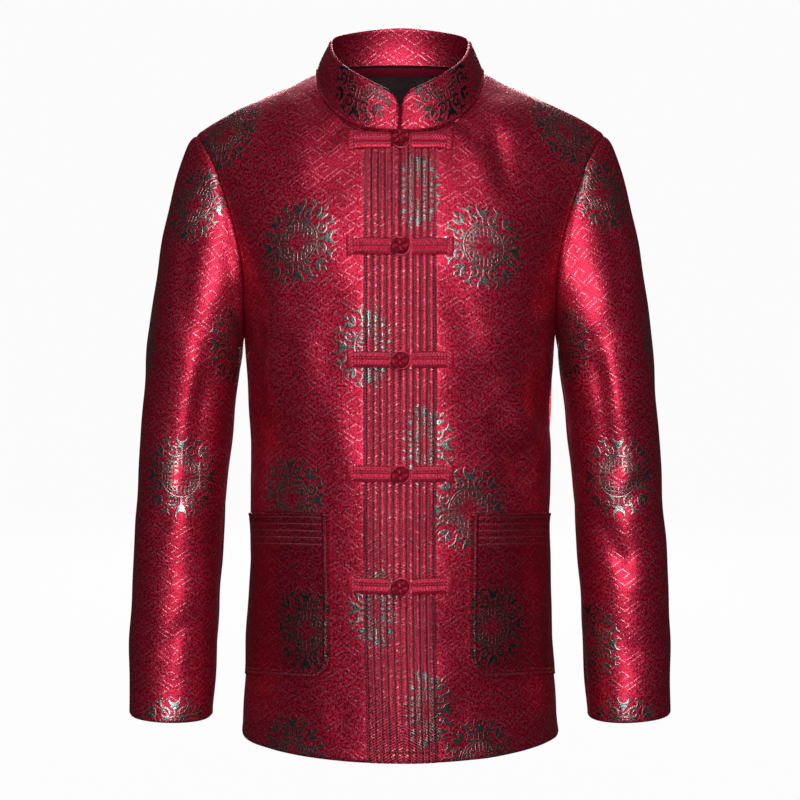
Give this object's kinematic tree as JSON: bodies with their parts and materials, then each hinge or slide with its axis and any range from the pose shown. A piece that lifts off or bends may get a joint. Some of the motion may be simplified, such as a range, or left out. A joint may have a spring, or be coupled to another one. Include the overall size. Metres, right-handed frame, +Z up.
{
  "type": "mandarin collar jacket",
  "caption": "Long-sleeved brocade jacket in worn form with a stand collar, frog closures, pin tucks along the front opening and patch pockets.",
  "frame": {"origin": "midway between the two side neck points, where the wearer's shoulders and neck carry the jacket", "axes": "+Z up, -Y out of the jacket's front, +X to the wearer's left"},
  "size_m": [0.5998, 0.3049, 0.7795],
  "materials": {
    "brocade": "wine red satin brocade with woven fret lines and dark round medallions",
    "collar": "the same brocade, stiffened, with parts of the medallions",
    "facing": "wine red satin strip inside the back neck",
    "frog": "folded bias strips of red satin with stitch lines",
    "knot": "ball knot of dark red satin cord"
  },
  "bodies": {
    "root": {"front_left": "brocade", "front_right": "brocade", "back": "brocade", "sleeve_left": "brocade", "sleeve_right": "brocade", "pocket_left": "brocade", "pocket_right": "brocade", "collar": "collar", "back_neck_facing": "facing", "frog_1_loop_strap": "frog", "frog_1_knot_strap": "frog", "frog_1_loop": "frog", "frog_1_knot": "knot", "frog_2_loop_strap": "frog", "frog_2_knot_strap": "frog", "frog_2_loop": "frog", "frog_2_knot": "knot", "frog_3_loop_strap": "frog", "frog_3_knot_strap": "frog", "frog_3_loop": "frog", "frog_3_knot": "knot", "frog_4_loop_strap": "frog", "frog_4_knot_strap": "frog", "frog_4_loop": "frog", "frog_4_knot": "knot", "frog_5_loop_strap": "frog", "frog_5_knot_strap": "frog", "frog_5_loop": "frog", "frog_5_knot": "knot"}
  },
  "joints": []
}
